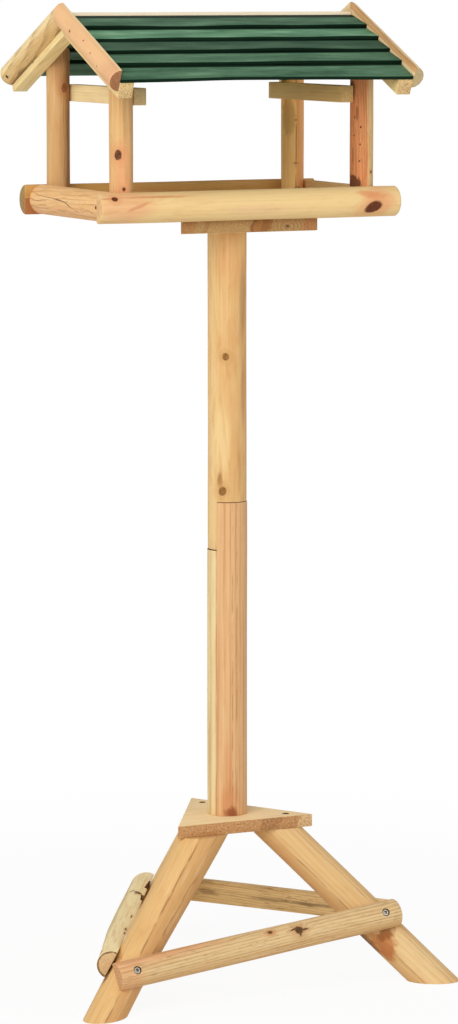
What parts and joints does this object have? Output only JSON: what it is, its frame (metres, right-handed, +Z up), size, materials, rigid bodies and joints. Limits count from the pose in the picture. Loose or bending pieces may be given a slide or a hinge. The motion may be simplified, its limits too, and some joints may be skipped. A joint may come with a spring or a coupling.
{
  "type": "bird table on stand",
  "caption": "Open roofed bird feeding table of fir half-logs with a green board roof, on a round pole and a three-legged braced stand.",
  "frame": {"origin": "on the ground, in the middle of the footprint", "axes": "+X along the roof ridge to the right as seen from the front, +Y from front to back, +Z up"},
  "size_m": [0.4946, 0.4338, 1.1765],
  "materials": {
    "fir_wood": "matt, sawn and turned",
    "green_roof_wood": "matt green stain",
    "fastener_steel": "dull zinc"
  },
  "bodies": {
    "root": {"barge_back_left": "fir_wood", "barge_back_right": "fir_wood", "barge_front_left": "fir_wood", "barge_front_right": "fir_wood", "barge_nails": "fastener_steel", "base_plate": "fir_wood", "brace_front": "fir_wood", "brace_left": "fir_wood", "brace_right": "fir_wood", "brace_screws": "fastener_steel", "floor_plank_1": "fir_wood", "floor_plank_2": "fir_wood", "floor_plank_3": "fir_wood", "lap_screws": "fastener_steel", "leg_back": "fir_wood", "leg_left": "fir_wood", "leg_right": "fir_wood", "leg_screws": "fastener_steel", "pole_foot_screws": "fastener_steel", "pole_head_screws": "fastener_steel", "pole_lower": "fir_wood", "pole_upper": "fir_wood", "post_back_left": "fir_wood", "post_back_right": "fir_wood", "post_front_left": "fir_wood", "post_front_right": "fir_wood", "post_screws": "fastener_steel", "rafter_back_left": "fir_wood", "rafter_back_right": "fir_wood", "rafter_front_left": "fir_wood", "rafter_front_right": "fir_wood", "rafter_screws": "fastener_steel", "roof_board_back_1": "green_roof_wood", "roof_board_back_2": "green_roof_wood", "roof_board_back_3": "green_roof_wood", "roof_board_back_4": "green_roof_wood", "roof_board_back_5": "green_roof_wood", "roof_board_front_1": "green_roof_wood", "roof_board_front_2": "green_roof_wood", "roof_board_front_3": "green_roof_wood", "roof_board_front_4": "green_roof_wood", "roof_board_front_5": "green_roof_wood", "roof_pins": "fastener_steel", "tie_left": "fir_wood", "tie_right": "fir_wood", "tie_screws": "fastener_steel", "tray_back_rail": "fir_wood", "tray_front_rail": "fir_wood", "tray_left_rail": "fir_wood", "tray_nails": "fastener_steel", "tray_plate": "fir_wood", "tray_plate_screws": "fastener_steel", "tray_right_rail": "fir_wood"}
  },
  "joints": []
}
